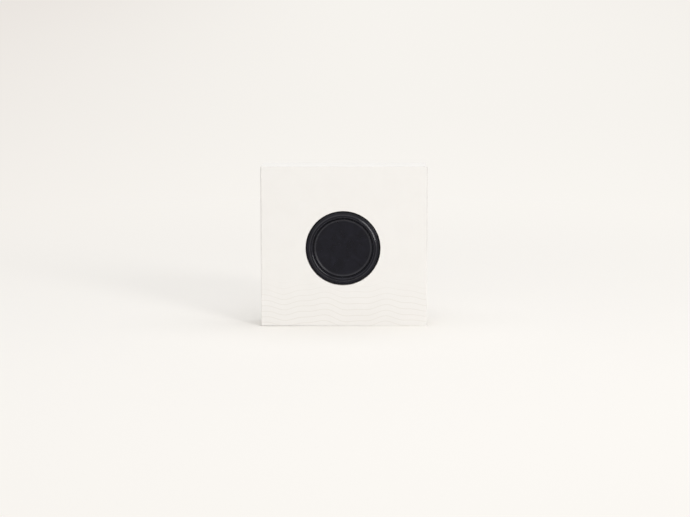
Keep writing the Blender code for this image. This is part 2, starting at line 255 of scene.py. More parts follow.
faded = place.add("MixShader", {}, {0: share, 1: lit, 2: glow})
faded.feed(paint.node_tree.nodes["Material Output"].inputs["Surface"])
sweep.data.materials.append(paint)

# The room gives an even light, and behind the paper it has the same far tone.
AMBIENT_LEVEL = 0.40
world = bpy.data.worlds.new("studio")
scene.world = world
world.use_nodes = True
air = Wire(world.node_tree)
room = air.add("Background", {}, {"Color": rgb(1.0, 1.0, 1.0), "Strength": AMBIENT_LEVEL})
backdrop = air.add("Background", {}, {"Color": SWEEP_FAR, "Strength": 1.0})
either = air.add("MixShader", {}, {0: looked_at(air), 1: room, 2: backdrop})
either.feed(world.node_tree.nodes["World Output"].inputs["Surface"])


# The sleeve
# One sheet of white board, creased four times, with its narrow flap glued behind the left edge
# of the back panel. The round window is die-cut; the front carries only a faint ripple print.

BOARD = 0.0005
HALF_WIDTH = 0.050
HALF_DEPTH = 0.011
HEIGHT = 0.0967
FOLD_RADIUS = 0.0006
FOLD_STEPS = 5
LEAST_CREASE = math.radians(11)
MERGE_REACH = 0.000001
SOFT_EDGE = 0.00006
SOFT_EDGE_STEPS = 2
SHEET_EDGE_ANGLE = math.radians(50)
WINDOW_RADIUS = 0.02255
WINDOW_STEPS = 192
WINDOW_CENTRE = Vector((-0.0006, -HALF_DEPTH, HEIGHT / 2 - 0.0009))
GLUE_FLAP_EDGE = -0.0355
GLUE_FLAP_SLANT = 0.006
GLUE_LINE = 0.00001
BACK_EDGE_INSET = 0.0001
SIDE_CREASE_INSET = 0.0019
BACK_CREASE_INSET = 0.0014
FOOT_LIFT = 0.00024

BOARD_WHITE = rgb(0.868, 0.850, 0.824)
BOARD_SHADE = rgb(0.850, 0.830, 0.802)
BOARD_INSIDE = rgb(0.80, 0.775, 0.725)
BOARD_CORE = rgb(0.74, 0.70, 0.63)
BOARD_SHEEN = 0.25
COATED_ROUGHNESS = 0.80
INSIDE_ROUGHNESS = 0.86
CUT_ROUGHNESS = 0.85

# Clouds, fibres and the tooth are noise: so many to the metre, and their detail. Shading and
# gloss are the noise from one level to another, times a share. A bump is strength and height.
BOARD_CLOUD = (90.0, 4.0)
BOARD_FIBRE = (1500.0, 3.0)
BOARD_TOOTH = (5200.0, 2.0)
BOARD_GRAIN = (1.0, 1.0, 3.2)
CLOUD_SHADING = (0.35, 0.7, 0.5)
FIBRE_SHADING = (0.45, 0.75, 0.35)
FIBRE_GLOSS = (0.3, 0.8, 0.07)
CLOUD_RELIEF = 0.3
FIBRE_RELIEF = 0.4
TOOTH_RELIEF = 0.3
BOARD_BUMP = (0.22, 0.00004)

RIPPLE_INK = rgb(0.79, 0.765, 0.725)
RIPPLE_STRENGTH = 0.85
RIPPLE_TOP = 0.032
RIPPLE_FULL = 0.012
RIPPLE_SPACING = 0.0034
RIPPLE_SWELLS = ((0.041, 0.6, 0.0016), (0.0173, 2.1, 0.0006))
RIPPLE_CLOUD = (38.0, 1.0)
RIPPLE_DRIFT = 0.004
RIPPLE_LINE = (0.03, 0.085)
PRINT_DEPTH = (-HALF_DEPTH + 0.00002, -HALF_DEPTH + 0.0001)
# Painted shade on the folds and the back's creases, partly cracked coating: colour, share, heights.
FOLD_SHADE = rgb(0.60, 0.58, 0.55)
FOLD_SHARE = 0.65
FOLD_SHADE_RISE = (0.036, 0.052)
PATCHY_LEAST = 0.75
PATCHY_SWING = 0.5


def swell(across, length, shift):
    """A sine wave along X with one crest for each length."""
    angle = across * (2 * math.pi / length) + shift
    return angle.add("Math", {"operation": "SINE"}, {0: angle})


def ripple_print(place):
    """Fine wavy lines on the front, strongest at its foot."""
    across = place.coordinate("X")
    height = place.coordinate("Z")
    drift = place.noise(*RIPPLE_CLOUD)
    rank = height
    for length, shift, rise in RIPPLE_SWELLS:
        rank = rank + swell(across, length, shift) * rise
    rank = (rank + drift * RIPPLE_DRIFT) / RIPPLE_SPACING
    from_line = rank.add("Math", {"operation": "PINGPONG"}, {0: rank, 1: 0.5})
    line = 1 - from_line.step(*RIPPLE_LINE)
    fade = 1 - height.step(RIPPLE_FULL, RIPPLE_TOP)
    front = 1 - place.coordinate("Y").step(*PRINT_DEPTH)
    return line * fade * front * RIPPLE_STRENGTH


def patchy(pattern):
    """A share that comes and goes with a pattern, for painted fold shade and painted ring highlights.
    """
    return pattern * PATCHY_SWING + PATCHY_LEAST


def crease_wear_and_shade(place, pattern):
    """Painted shade, partly cracked coating: high on the upright folds, and where the back meets the
    lids.
    """
    middle = place.away_from((0, 0, HEIGHT / 2))
    reach = middle.add("VectorMath", {"operation": "ABSOLUTE"}, {0: middle})
    at_side = reach.coordinate("X").step(HALF_WIDTH - FOLD_RADIUS, HALF_WIDTH - FOLD_RADIUS / 3)
    at_face = reach.coordinate("Y").step(HALF_DEPTH - FOLD_RADIUS, HALF_DEPTH - FOLD_RADIUS / 3)
    at_back = middle.coordinate("Y").step(HALF_DEPTH - 2 * FOLD_RADIUS, HALF_DEPTH - FOLD_RADIUS)
    at_end = reach.coordinate("Z").step(HEIGHT / 2 - 2 * FOLD_RADIUS, HEIGHT / 2 - FOLD_RADIUS)
    upright = at_side * at_face * place.coordinate("Z").step(*FOLD_SHADE_RISE)
    return (upright + at_back * at_end) * patchy(pattern) * FOLD_SHARE


def board_finish(name, light, shade, roughness, printed=False):
    """Paper board: soft mottling, short fibres under the coating, and a faint tooth."""
    material, shader, place = new_material(name)
    cloud = place.noise(*BOARD_CLOUD)
    fibre = place.stretched(BOARD_GRAIN).noise(*BOARD_FIBRE)
    tooth = place.noise(*BOARD_TOOTH)
    mottle = cloud.step(*CLOUD_SHADING) + fibre.step(*FIBRE_SHADING)
    colour = mottle.blend(light, shade)
    if printed:
        colour = ripple_print(place).blend(colour, RIPPLE_INK)
        # Painted shade, partly cracked coating, darkens the folds.
        colour = crease_wear_and_shade(place, fibre).blend(colour, FOLD_SHADE)
    colour.feed(shader.inputs["Base Color"])
    (roughness - fibre.step(*FIBRE_GLOSS)).feed(shader.inputs["Roughness"])
    shader.inputs["Specular IOR Level"].default_value = BOARD_SHEEN
    relief = cloud * CLOUD_RELIEF + fibre * FIBRE_RELIEF + tooth * TOOTH_RELIEF
    relief.emboss(shader, *BOARD_BUMP)
    return material


print_coat = board_finish("board_outside", BOARD_WHITE, BOARD_SHADE, COATED_ROUGHNESS, printed=True)
bare_side = board_finish("board_inside", BOARD_INSIDE, BOARD_CORE, INSIDE_ROUGHNESS)
raw_edge = board_finish("board_raw_edge", BOARD_CORE, BOARD_INSIDE, CUT_ROUGHNESS)
board_faces = (print_coat, bare_side, raw_edge)


def polyline(bm, points):
    """Joins points into one open chain."""
    verts = [bm.verts.new(point) for point in points]
    for pair in zip(verts, verts[1:]):
        bm.edges.new(pair)


def pull_out(bm, edges):
    """Extrudes bare edges, and returns the new edges and their points, still in place."""
    pulled = bmesh.ops.extrude_edge_only(bm, edges=edges)["geom"]
    new_edges = [item for item in pulled if isinstance(item, bmesh.types.BMEdge)]
    new_verts = [item for item in pulled if isinstance(item, bmesh.types.BMVert)]
    return new_edges, new_verts


def drag(bm, edges, reach):
    """Drags bare edges along a vector, and so adds a strip of sheet to each."""
    verts = pull_out(bm, edges)[1]
    bmesh.ops.translate(bm, verts=verts, vec=reach)


def creases(bm):
    """The edges where two faces of a new sheet meet at an angle."""
    shared = [edge for edge in bm.edges if len(edge.link_faces) == 2]
    return [edge for edge in shared if edge.calc_face_angle() > LEAST_CREASE]


def round_folds(bm, radius):
    """Gives the creases of a new sheet their outside radius, whatever the angle they turn."""
    for edge in creases(bm):
        bmesh.ops.bevel(
            bm,
            geom=[edge],
            offset=radius * math.tan(edge.calc_face_angle() / 2),
            segments=FOLD_STEPS,
            profile=0.5,
            affect="EDGES",
            material=-1,
        )
    bmesh.ops.remove_doubles(bm, verts=bm.verts, dist=MERGE_REACH)


def slice_sheet(bm, point, normal):
    """Scores a sheet along a plane, so that the parts on either side are faces of their own."""
    everything = bm.verts[:] + bm.edges[:] + bm.faces[:]
    bmesh.ops.bisect_plane(bm, geom=everything, plane_co=point, plane_no=normal)


def widest(faces):
    """The face with the largest area."""
    return max(faces, key=lambda face: face.calc_area())


def panel_before(bm, depth):
    """The widest face in front of a depth."""
    return widest([face for face in bm.faces if face.calc_center_median().y < depth])


def punch_round(bm, panel, centre, radius, steps):
    """Cuts a round hole in a flat panel that faces along Y, and returns the hole's edges."""
    border = panel.edges[:]
    bmesh.ops.delete(bm, geom=[panel], context="FACES_ONLY")
    turned_up = Matrix.Translation(centre) @ Matrix.Rotation(math.pi / 2, 4, "X")
    ring = bmesh.ops.create_circle(bm, segments=steps, radius=radius, matrix=turned_up)["verts"]
    hole = list(dict.fromkeys(edge for vert in ring for edge in vert.link_edges))
    bmesh.ops.triangle_fill(bm, edges=border + hole, use_beauty=True)
    return hole


def soften(piece, width, steps, angle):
    """Rounds the edges of a piece that turn by more than an angle, and keeps its flats flat."""
    edge = piece.modifiers.new("edge", "BEVEL")
    edge.width = width
    edge.segments = steps
    edge.limit_method = "ANGLE"
    edge.angle_limit = angle
    normals = piece.modifiers.new("normals", "WEIGHTED_NORMAL")
    normals.keep_sharp = True


def sheet_piece(name, bm, outward, materials, thickness=BOARD):
    """A sheet drawn by its outer face: its thickness goes inward and its edges are soft.

    Its three materials are those of the outer face, the inner face and the cut edge.
    """
    bmesh.ops.recalc_face_normals(bm, faces=bm.faces)
    if widest(bm.faces).normal.dot(Vector(outward)) < 0:
        bmesh.ops.reverse_faces(bm, faces=bm.faces)
    piece = new_object(name, bm)
    for material in materials:
        piece.data.materials.append(material)
    piece.data.shade_smooth()
    wall = piece.modifiers.new("wall", "SOLIDIFY")
    wall.thickness = thickness
    wall.offset = -1
    wall.use_even_offset = True
    wall.material_offset = 1
    wall.material_offset_rim = 2
    soften(piece, min(SOFT_EDGE, thickness / 5), SOFT_EDGE_STEPS, SHEET_EDGE_ANGLE)
    return piece


sleeve_mesh = bmesh.new()
flap_face = HALF_DEPTH - BOARD - GLUE_LINE
polyline(
    sleeve_mesh,
    [
        (GLUE_FLAP_EDGE, flap_face, 0),
        (-HALF_WIDTH, flap_face, 0),
        (-HALF_WIDTH, -HALF_DEPTH, 0),
        (HALF_WIDTH, -HALF_DEPTH, 0),
        (HALF_WIDTH, HALF_DEPTH, 0),
        (BACK_EDGE_INSET - HALF_WIDTH, HALF_DEPTH, 0),
    ],
)
drag(sleeve_mesh, sleeve_mesh.edges[:], (0, 0, HEIGHT))
round_folds(sleeve_mesh, FOLD_RADIUS)
for inset in (BACK_CREASE_INSET, SIDE_CREASE_INSET):
    for height in (inset, HEIGHT - inset):
        slice_sheet(sleeve_mesh, (0, 0, height), (0, 0, 1))


def beyond_crease(face):
    """True for the parts of the wrapped blank that are cut away above and below a panel."""
    middle = face.calc_center_median()
    from_end = min(middle.z, HEIGHT - middle.z)
    if middle.y < -HALF_DEPTH + FOLD_RADIUS:
        return False
    if middle.y > flap_face + BOARD / 2:
        return from_end < BACK_CREASE_INSET
    if middle.x > 0 and middle.y > HALF_DEPTH - FOLD_RADIUS:
        return from_end < BACK_CREASE_INSET
    return from_end < SIDE_CREASE_INSET


spare = [face for face in sleeve_mesh.faces if beyond_crease(face)]
bmesh.ops.delete(sleeve_mesh, geom=spare, context="FACES")
for vert in sleeve_mesh.verts:
    if abs(vert.co.x - GLUE_FLAP_EDGE) < SOFT_EDGE and vert.co.y > 0:
        vert.co.z += GLUE_FLAP_SLANT if vert.co.z < HEIGHT / 2 else -GLUE_FLAP_SLANT

# The carton stands a hair higher at the left end of its front, which shows as a thin dark line.
front_foot = min(
    panel_before(sleeve_mesh, BOARD - HALF_DEPTH).edges,
    key=lambda edge: max(vert.co.z for vert in edge.verts),
)
bmesh.ops.subdivide_edges(sleeve_mesh, edges=[front_foot], cuts=1)
for vert in sleeve_mesh.verts:
    if vert.co.z < SOFT_EDGE and vert.co.x < FOLD_RADIUS - HALF_WIDTH:
        vert.co.z += FOOT_LIFT

front_panel = panel_before(sleeve_mesh, BOARD - HALF_DEPTH)
punch_round(sleeve_mesh, front_panel, WINDOW_CENTRE, WINDOW_RADIUS, WINDOW_STEPS)
sleeve = sheet_piece("sleeve_board", sleeve_mesh, (0, 1, 0), board_faces)
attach(sleeve, "carton")
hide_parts("carton_sleeve")


# Lid panels
# Each end is closed by a panel of the same white board, creased along the top or foot of the
# back. Its two front corners are slit free of the tuck flap and lie just behind the front panel.

LID_HALF_WIDTH = 0.0496
LID_RADIUS = 0.0007
LID_BEND_EDGE = -0.0093
LID_CORNER_REACH = 0.0007
SLIT_X = 0.0477
ENDS = (("top", 1), ("bottom", -1))


def level(end, inset):
    """Height of a plane that lies an inset inside the top (1) or the bottom (-1)."""
    return HEIGHT - inset if end > 0 else inset


for end_name, end in ENDS:
    lid_mesh = bmesh.new()
    polyline(
        lid_mesh,
        [
            (-LID_HALF_WIDTH, HALF_DEPTH, level(end, BACK_CREASE_INSET)),
            (-LID_HALF_WIDTH, HALF_DEPTH, level(end, 0)),
            (-LID_HALF_WIDTH, LID_BEND_EDGE, level(end, 0)),
        ],
    )
    drag(lid_mesh, lid_mesh.edges[:], (2 * LID_HALF_WIDTH, 0, 0))
    round_folds(lid_mesh, LID_RADIUS)
    for side in (-1, 1):
        slice_sheet(lid_mesh, (side * SLIT_X, 0, 0), (1, 0, 0))
    corners = [
        edge
        for edge in lid_mesh.edges
        if all(abs(vert.co.y - LID_BEND_EDGE) < SOFT_EDGE for vert in edge.verts)
        and all(abs(vert.co.x) > SLIT_X - SOFT_EDGE for vert in edge.verts)
        and edge.calc_length() < SLIT_X
    ]
    drag(lid_mesh, corners, (0, -LID_CORNER_REACH, 0))
    lid = sheet_piece(end_name + "_lid_board", lid_mesh, (0, 0, end), board_faces)
    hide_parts(end_name + "_lid_panel")
    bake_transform(lid)


# Tuck flaps
# Flaps of the same sheet, folded from the lid's front edge, with rounded corners so that they
# slide in behind the front panel. They lean back a little, as board does that was creased once.

TUCK_HALF_WIDTH = 0.0475
TUCK_TIP_INSET = 0.00965
TUCK_FOLD_Y = -0.010064
TUCK_LEAN = math.radians(5)
TUCK_RADIUS = 0.0007
TUCK_CORNER = 0.004
CORNER_STEPS = 8


def round_corners(bm, corners, radius):
    """Rounds the free corners of a flap."""
    bmesh.ops.bevel(
        bm,
        geom=corners,
        offset=radius,
        segments=CORNER_STEPS,
        profile=0.5,
        affect="VERTICES",
        material=-1,
    )


for end_name, end in ENDS:
    tuck_mesh = bmesh.new()
    tip_y = TUCK_FOLD_Y + math.tan(TUCK_LEAN) * TUCK_TIP_INSET
    polyline(
        tuck_mesh,
        [
            (-TUCK_HALF_WIDTH, LID_BEND_EDGE, level(end, 0)),
            (-TUCK_HALF_WIDTH, TUCK_FOLD_Y, level(end, 0)),
            (-TUCK_HALF_WIDTH, tip_y, level(end, TUCK_TIP_INSET)),
        ],
    )
    drag(tuck_mesh, tuck_mesh.edges[:], (2 * TUCK_HALF_WIDTH, 0, 0))
    tips = [vert for vert in tuck_mesh.verts if abs(vert.co.z - level(end, 0)) > BOARD]
    round_corners(tuck_mesh, tips, TUCK_CORNER)
    round_folds(tuck_mesh, TUCK_RADIUS)
    tuck = sheet_piece(end_name + "_tuck_board", tuck_mesh, (0, -1, 0), board_faces)
    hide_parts(end_name + "_tuck_flap")
    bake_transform(tuck)


# Dust flaps
# Short flaps of the same sheet, creased along the tops and bottoms of the side panels. Their rear
# edges are cut on a slant and their front corners are rounded, to pass the lid as it closes.

DUST_REACH = 0.018
DUST_FRONT = -0.0083
DUST_REAR = 0.0097
DUST_TIP_REAR = 0.00322
DUST_INSET = 0.0008
DUST_RADIUS = 0.0007
DUST_CORNER = 0.003

for end_name, end in ENDS:
    for side_name, side in (("left", -1), ("right", 1)):
        dust_mesh = bmesh.new()
        tip_x = side * (HALF_WIDTH - DUST_REACH)
        polyline(
            dust_mesh,
            [
                (side * HALF_WIDTH, DUST_FRONT, level(end, SIDE_CREASE_INSET)),
                (side * HALF_WIDTH, DUST_FRONT, level(end, DUST_INSET)),
                (tip_x, DUST_FRONT, level(end, DUST_INSET)),
            ],
        )
        drag(dust_mesh, dust_mesh.edges[:], (0, DUST_REAR - DUST_FRONT, 0))
        round_folds(dust_mesh, DUST_RADIUS)
        tips = [vert for vert in dust_mesh.verts if abs(vert.co.x - tip_x) < SOFT_EDGE]
        rear_tip = max(tips, key=lambda vert: vert.co.y)
        rear_tip.co.y = DUST_TIP_REAR
        tips.remove(rear_tip)
        round_corners(dust_mesh, tips, DUST_CORNER)
        body = end_name + "_dust_" + side_name
        flap = sheet_piece(body + "_board", dust_mesh, (0, 0, end), board_faces)
        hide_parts(end_name + "_dust_flap_" + side_name)
        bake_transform(flap)


# The insert
# A cradle of grey recycled board. Its web lies behind the front panel, its sides and rear returns
# brace it in the sleeve, and a collar of tabs folded back around the hole grips the holder.

SEAT = Vector((WINDOW_CENTRE.x, -0.0109, WINDOW_CENTRE.z))
INSERT_HALF_WIDTH = 0.0492
INSERT_FRONT = -0.0102
INSERT_REAR = 0.0097
INSERT_RETURN_EDGE = 0.0342
INSERT_END_INSET = 0.0016
WEB_END_INSET = 0.012
WEB_CUT_X = 0.0482
COLLAR_RADIUS = 0.0225
COLLAR_FOLD = 0.0006
COLLAR_BACK = -0.0037
COLLAR_STEPS = 360
FOLD_TURNS = 4
TAB_PITCH = 30
SLIT_HALF_ANGLE = 1

GREY_BOARD = rgb(0.60, 0.575, 0.53)
GREY_SHADE = rgb(0.53, 0.505, 0.46)
GREY_FLECK = rgb(0.26, 0.24, 0.215)
PALE_FLECK = rgb(0.78, 0.76, 0.71)
GREY_ROUGHNESS = 0.90
GREY_GRAIN = (1.0, 1.0, 2.6)
GREY_CLOUD = (140.0, 5.0)
GREY_FIBRE = (1300.0, 3.0, 0.6)
GREY_FLECKS = (2100.0, 1.0, 1.5)
PALE_FLECKS = (1700.0, 1.0, 1.2)
GREY_CLOUD_SHADING = (0.3, 0.7, 0.6)
GREY_FIBRE_SHADING = (0.4, 0.7, 0.4)
GREY_FLECK_SHADING = (0.70, 0.76, 0.7)
PALE_FLECK_SHADING = (0.69, 0.75, 0.55)
GREY_GLOSS = 0.12
GREY_CLOUD_RELIEF = 0.25
GREY_FIBRE_RELIEF = 0.75
GREY_BUMP = (0.45, 0.00006)


def recycled_board(name):
    """Grey board from waste paper: clouds of fibre with dark and pale flecks in them."""
    material, shader, place = new_material(name)
    grain = place.stretched(GREY_GRAIN)
    cloud = place.noise(*GREY_CLOUD)
    fibre = grain.noise(*GREY_FIBRE)
    dark = grain.noise(*GREY_FLECKS).step(*GREY_FLECK_SHADING)
    pale = grain.noise(*PALE_FLECKS).step(*PALE_FLECK_SHADING)
    mottle = cloud.step(*GREY_CLOUD_SHADING) + fibre.step(*GREY_FIBRE_SHADING)
    colour = pale.blend(mottle.blend(GREY_BOARD, GREY_SHADE), PALE_FLECK)
    dark.blend(colour, GREY_FLECK).feed(shader.inputs["Base Color"])
    (GREY_ROUGHNESS - fibre * GREY_GLOSS).feed(shader.inputs["Roughness"])
    relief = cloud * GREY_CLOUD_RELIEF + fibre * GREY_FIBRE_RELIEF
    relief.emboss(shader, *GREY_BUMP)
    return material


insert_mesh = bmesh.new()
polyline(
    insert_mesh,
    [
        (-INSERT_RETURN_EDGE, INSERT_REAR, INSERT_END_INSET),
        (-INSERT_HALF_WIDTH, INSERT_REAR, INSERT_END_INSET),
        (-INSERT_HALF_WIDTH, INSERT_FRONT, INSERT_END_INSET),
        (INSERT_HALF_WIDTH, INSERT_FRONT, INSERT_END_INSET),
        (INSERT_HALF_WIDTH, INSERT_REAR, INSERT_END_INSET),
        (INSERT_RETURN_EDGE, INSERT_REAR, INSERT_END_INSET),
    ],
)
drag(insert_mesh, insert_mesh.edges[:], (0, 0, HEIGHT - 2 * INSERT_END_INSET))
round_folds(insert_mesh, FOLD_RADIUS)
for height in (WEB_END_INSET, HEIGHT - WEB_END_INSET):
    slice_sheet(insert_mesh, (0, 0, height), (0, 0, 1))
for side in (-1, 1):
    slice_sheet(insert_mesh, (side * WEB_CUT_X, 0, 0), (1, 0, 0))


def beyond_web(face):
    """True for the parts that are cut away above and below the web."""
    middle = face.calc_center_median()
    in_front = middle.y < INSERT_FRONT + BOARD / 2
    from_end = min(middle.z, HEIGHT - middle.z)
    return in_front and abs(middle.x) < WEB_CUT_X and from_end < WEB_END_INSET


spare = [face for face in insert_mesh.faces if beyond_web(face)]
bmesh.ops.delete(insert_mesh, geom=spare, context="FACES")
web = panel_before(insert_mesh, INSERT_FRONT + BOARD / 2)
web_centre = Vector((SEAT.x, INSERT_FRONT, SEAT.z))
hole = punch_round(insert_mesh, web, web_centre, COLLAR_RADIUS + COLLAR_FOLD, COLLAR_STEPS)


def on_tab(edge):
    """True for the edges of the hole that carry a tab, and False for those at a slit."""
    middle = (edge.verts[0].co + edge.verts[1].co) / 2 - web_centre
    angle = math.degrees(math.atan2(middle.z, middle.x))
    return abs(angle % TAB_PITCH - TAB_PITCH / 2) > SLIT_HALF_ANGLE


rising = [edge for edge in hole if on_tab(edge)]
tab_profile = []
for turn in range(1, FOLD_TURNS + 1):
    angle = math.pi / 2 * turn / FOLD_TURNS
    inward = COLLAR_FOLD * (1 - math.sin(angle))
    tab_profile.append((COLLAR_RADIUS + inward, INSERT_FRONT + COLLAR_FOLD * (1 - math.cos(angle))))
tab_profile.append((COLLAR_RADIUS, COLLAR_BACK))
for radius, depth in tab_profile:
    rising, moved = pull_out(insert_mesh, rising)
    for vert in moved:
        outward = Vector((vert.co.x - SEAT.x, 0, vert.co.z - SEAT.z)).normalized()
        vert.co = Vector((SEAT.x, depth, SEAT.z)) + outward * radius

insert_face = recycled_board("insert_board")
insert_edge = board_finish("insert_raw_edge", GREY_SHADE, GREY_BOARD, GREY_ROUGHNESS)
insert = sheet_piece("insert_board", insert_mesh, (0, -1, 0), (insert_face, insert_face, insert_edge))
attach(insert, "carton")
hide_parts("insert_cradle")


# Holder body
# The black ring of moulded recycled plastic: a stepped rim in front, a plain side wall with the
# mould's parting line, and behind the cap's shelf a pocket that holds the magnet.

ROUND_STEPS = 192
TURNED_EDGE_STEPS = 3
TURNED_EDGE_ANGLE = math.radians(24)
HOLDER_RADIUS = 0.0222
HOLDER_DEPTH = 0.014
PARTING_GROOVE = 0.02212
CAP_BORE = 0.01775
POCKET_RADIUS = 0.0103
RIM_EDGE = 0.00006

PLASTIC_DARK = rgb(0.0030, 0.0029, 0.0066)
PLASTIC_LIGHT = rgb(0.0066, 0.0064, 0.0124)
# Paler colour painted on the raised rings as a highlight.
PLASTIC_HIGHLIGHT = rgb(0.042, 0.042, 0.048)
PLASTIC_SHEEN = 0.18
RIM_ROUGHNESS = 0.10
PLASTIC_FLOW = (130.0, 4.0, 0.6)
PLASTIC_GRAIN = (2600.0, 3.0)
FLOW_SHADING = (0.35, 0.72)
FLOW_GLOSS = (0.3, 0.7, 0.08)
GRAIN_GLOSS = 0.06
GRAIN_RELIEF = 0.8
FLOW_RELIEF = 0.2
PLASTIC_BUMP = (0.18, 0.00003)


def from_axis(place):
    """Distance of a point from the holder's axis."""
    offset = place.away_from(tuple(SEAT))
    flat = place.add("VectorMath", {"operation": "MULTIPLY"}, {0: offset, 1: (1, 0, 1)})
    return flat.length()


def plastic_finish(name, roughness, highlights=()):
    """Black recycled plastic: cloudy flow marks, a fine grain, and raised rings with painted
    highlights.

    Each ring of painted highlight has a radius, a reach to either side of it, and its share.
    """
    material, shader, place = new_material(name)
    flow = place.noise(*PLASTIC_FLOW)
    grain = place.noise(*PLASTIC_GRAIN)
    colour = flow.step(*FLOW_SHADING).blend(PLASTIC_DARK, PLASTIC_LIGHT)
    radius = from_axis(place)
    for middle, reach, share in highlights:
        rising = radius.step(middle - reach, middle)
        falling = 1 - radius.step(middle, middle + reach)
        # Painted highlight along each ring.
        highlight = rising * falling * patchy(flow) * share
        colour = highlight.blend(colour, PLASTIC_HIGHLIGHT)
    colour.feed(shader.inputs["Base Color"])
    rough = roughness + flow.step(*FLOW_GLOSS) + grain * GRAIN_GLOSS
    rough.feed(shader.inputs["Roughness"])
    shader.inputs["Specular IOR Level"].default_value = PLASTIC_SHEEN
    (grain * GRAIN_RELIEF + flow * FLOW_RELIEF).emboss(shader, *PLASTIC_BUMP)
    return material


def spun_mesh(outline, steps):
    """Spins an outline of (radius, depth) points round the Y axis."""
    bm = bmesh.new()
    polyline(bm, [(radius, depth, 0) for radius, depth in outline])
    bmesh.ops.spin(
        bm,
        geom=bm.verts[:] + bm.edges[:],
        axis=(0, 1, 0),
        cent=(0, 0, 0),
        angle=2 * math.pi,
        steps=steps,
        use_merge=True,
    )
    bmesh.ops.remove_doubles(bm, verts=bm.verts, dist=MERGE_REACH)
    return bm


def turned_piece(name, outline, material, edge_width):
    """A solid of revolution on the holder's axis, its depths counted from the front of the rim."""
    closed = outline if outline[0][0] == 0 else outline + outline[:1]
    bm = spun_mesh(closed, ROUND_STEPS)
    bmesh.ops.recalc_face_normals(bm, faces=bm.faces)
    bmesh.ops.translate(bm, verts=bm.verts, vec=SEAT)
    piece = new_object(name, bm)
    piece.data.materials.append(material)
    piece.data.shade_smooth()
    soften(piece, edge_width, TURNED_EDGE_STEPS, TURNED_EDGE_ANGLE)
    return piece


rim_outline = [
    (CAP_BORE, 0.00390),
    (CAP_BORE, 0.00110),
    (0.01800, 0.00105),
    (0.01810, 0.00097),
    (0.01834, 0.00040),
    (0.01842, 0.00030),
    (0.01850, 0.00025),
    (0.01884, 0.00010),
    (0.01898, 0.00004),
    (0.01914, 0.00000),
    (0.01942, 0.00000),
    (0.01950, 0.00002),
    (0.01960, 0.00006),
    (0.02018, 0.00030),
    (0.02036, 0.00036),
    (0.02166, 0.00068),
    (0.02196, 0.00082),
    (0.02212, 0.00110),
    (HOLDER_RADIUS, 0.00170),
    (HOLDER_RADIUS, 0.00690),
    (PARTING_GROOVE, 0.00694),
    (PARTING_GROOVE, 0.00704),
    (HOLDER_RADIUS, 0.00708),
    (HOLDER_RADIUS, 0.01370),
    (0.02190, HOLDER_DEPTH),
    (0.02030, HOLDER_DEPTH),
    (0.02030, 0.01170),
    (0.01960, 0.01170),
    (0.01960, 0.00540),
    (0.01180, 0.00540),
    (0.01180, 0.00690),
    (POCKET_RADIUS, 0.00690),
    (POCKET_RADIUS, 0.00390),
]
# Painted highlights on the rim: radius, reach and share of each ring.
RIM_HIGHLIGHTS = ((0.01866, 0.0004, 0.40), (0.02008, 0.0005, 0.75), (0.02075, 0.0009, 0.10))
rim_plastic = plastic_finish("rim_plastic", RIM_ROUGHNESS, RIM_HIGHLIGHTS)
rim = turned_piece("rim_moulding", rim_outline, rim_plastic, RIM_EDGE)
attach(rim, "holder")
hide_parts("holder_body")


# Front cap
# The dished disc of the same black plastic that closes the front of the magnet pocket. It is
# pressed into the bore of the body, and a dark joint is left between the two.

BOWL_STEPS = 12
BOWL_RADIUS = 0.0157
BOWL_DEPTH = 0.0021
BOWL_RISE = 0.00074
CAP_RADIUS = 0.01745
CAP_BACK = 0.0036
CAP_EDGE = 0.00006
CAP_ROUGHNESS = 0.13
# Painted highlight on the cap's lip.
CAP_HIGHLIGHTS = ((0.01680, 0.0009, 0.55),)

cap_outline = [
    (BOWL_RADIUS * step / BOWL_STEPS, BOWL_DEPTH - BOWL_RISE * (step / BOWL_STEPS) ** 2)
    for step in range(BOWL_STEPS + 1)
]
cap_outline += [
    (0.01604, 0.00131),
    (0.01630, 0.00125),
    (0.01712, 0.00091),
    (0.01725, 0.00089),
    (0.01738, 0.00092),
    (CAP_RADIUS, 0.00105),
    (CAP_RADIUS, CAP_BACK),
    (0, CAP_BACK),
]
cap_plastic = plastic_finish("cap_plastic", CAP_ROUGHNESS, CAP_HIGHLIGHTS)
cap = turned_piece("cap_dish", cap_outline, cap_plastic, CAP_EDGE)
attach(cap, "holder")
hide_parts("front_cap")


# Magnet
# A sintered disc magnet with a bright nickel plating and tumbled edges. It lies loose in its
# pocket until the rear cover closes over it.

MAGNET_EDGE = 0.00014
NICKEL = rgb(0.72, 0.71, 0.69)
NICKEL_SHADE = rgb(0.62, 0.60, 0.57)
NICKEL_ROUGHNESS = 0.16
NICKEL_CLOUD = (210.0, 3.0)
NICKEL_SCUFFS = (900.0, 6.0, 3.0)
NICKEL_SHADING = (0.35, 0.7)
SCUFF_EDGES = (0.52, 0.60)
NICKEL_CLOUD_GLOSS = 0.08
SCUFF_GLOSS = 0.10
NICKEL_BUMP = (0.10, 0.00001)


def plated_finish(name):
    """Nickel plate: a faint yellow cloud and fine scuffs from the tumbling drum."""
    material, shader, place = new_material(name)
    cloud = place.noise(*NICKEL_CLOUD)
    scuffs = place.noise(*NICKEL_SCUFFS).step(*SCUFF_EDGES)
    cloud.step(*NICKEL_SHADING).blend(NICKEL, NICKEL_SHADE).feed(shader.inputs["Base Color"])
    rough = NICKEL_ROUGHNESS + cloud * NICKEL_CLOUD_GLOSS + scuffs * SCUFF_GLOSS
    rough.feed(shader.inputs["Roughness"])
    shader.inputs["Metallic"].default_value = 1.0
    scuffs.emboss(shader, *NICKEL_BUMP)
    return material


